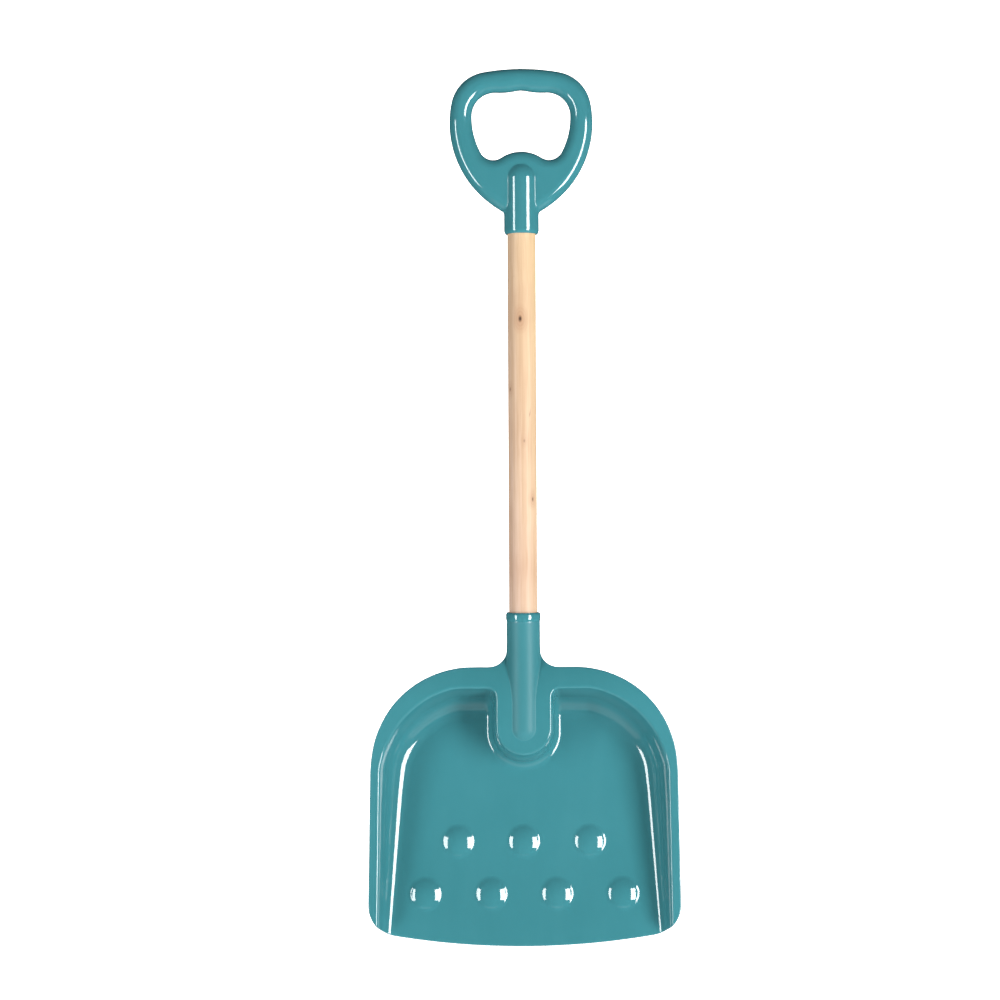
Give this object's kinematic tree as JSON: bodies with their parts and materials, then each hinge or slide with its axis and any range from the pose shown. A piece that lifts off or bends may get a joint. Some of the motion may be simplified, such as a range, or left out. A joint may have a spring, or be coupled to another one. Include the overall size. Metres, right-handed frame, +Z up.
{
  "type": "beach sand scoop",
  "caption": "Child's beach and snow scoop: wide moulded pan with raised domes and a bowed lip, on a wooden dowel with a moulded D grip.",
  "frame": {"origin": "middle of the whole footprint, at the height of the lip's lowest point", "axes": "+Z up along the dowel towards the grip, -Y out of the pan's open side, X across; X 0 is the plane of symmetry"},
  "size_m": [0.2412, 0.0436, 0.6814],
  "materials": {
    "teal_plastic": "glossy moulded",
    "dowel_wood": "sanded, unvarnished",
    "screw_steel": "zinc plated"
  },
  "bodies": {
    "root": {"scoop": "teal_plastic", "shaft": "dowel_wood", "grip": "teal_plastic", "scoop_screw": "screw_steel", "grip_screw": "screw_steel"}
  },
  "joints": []
}
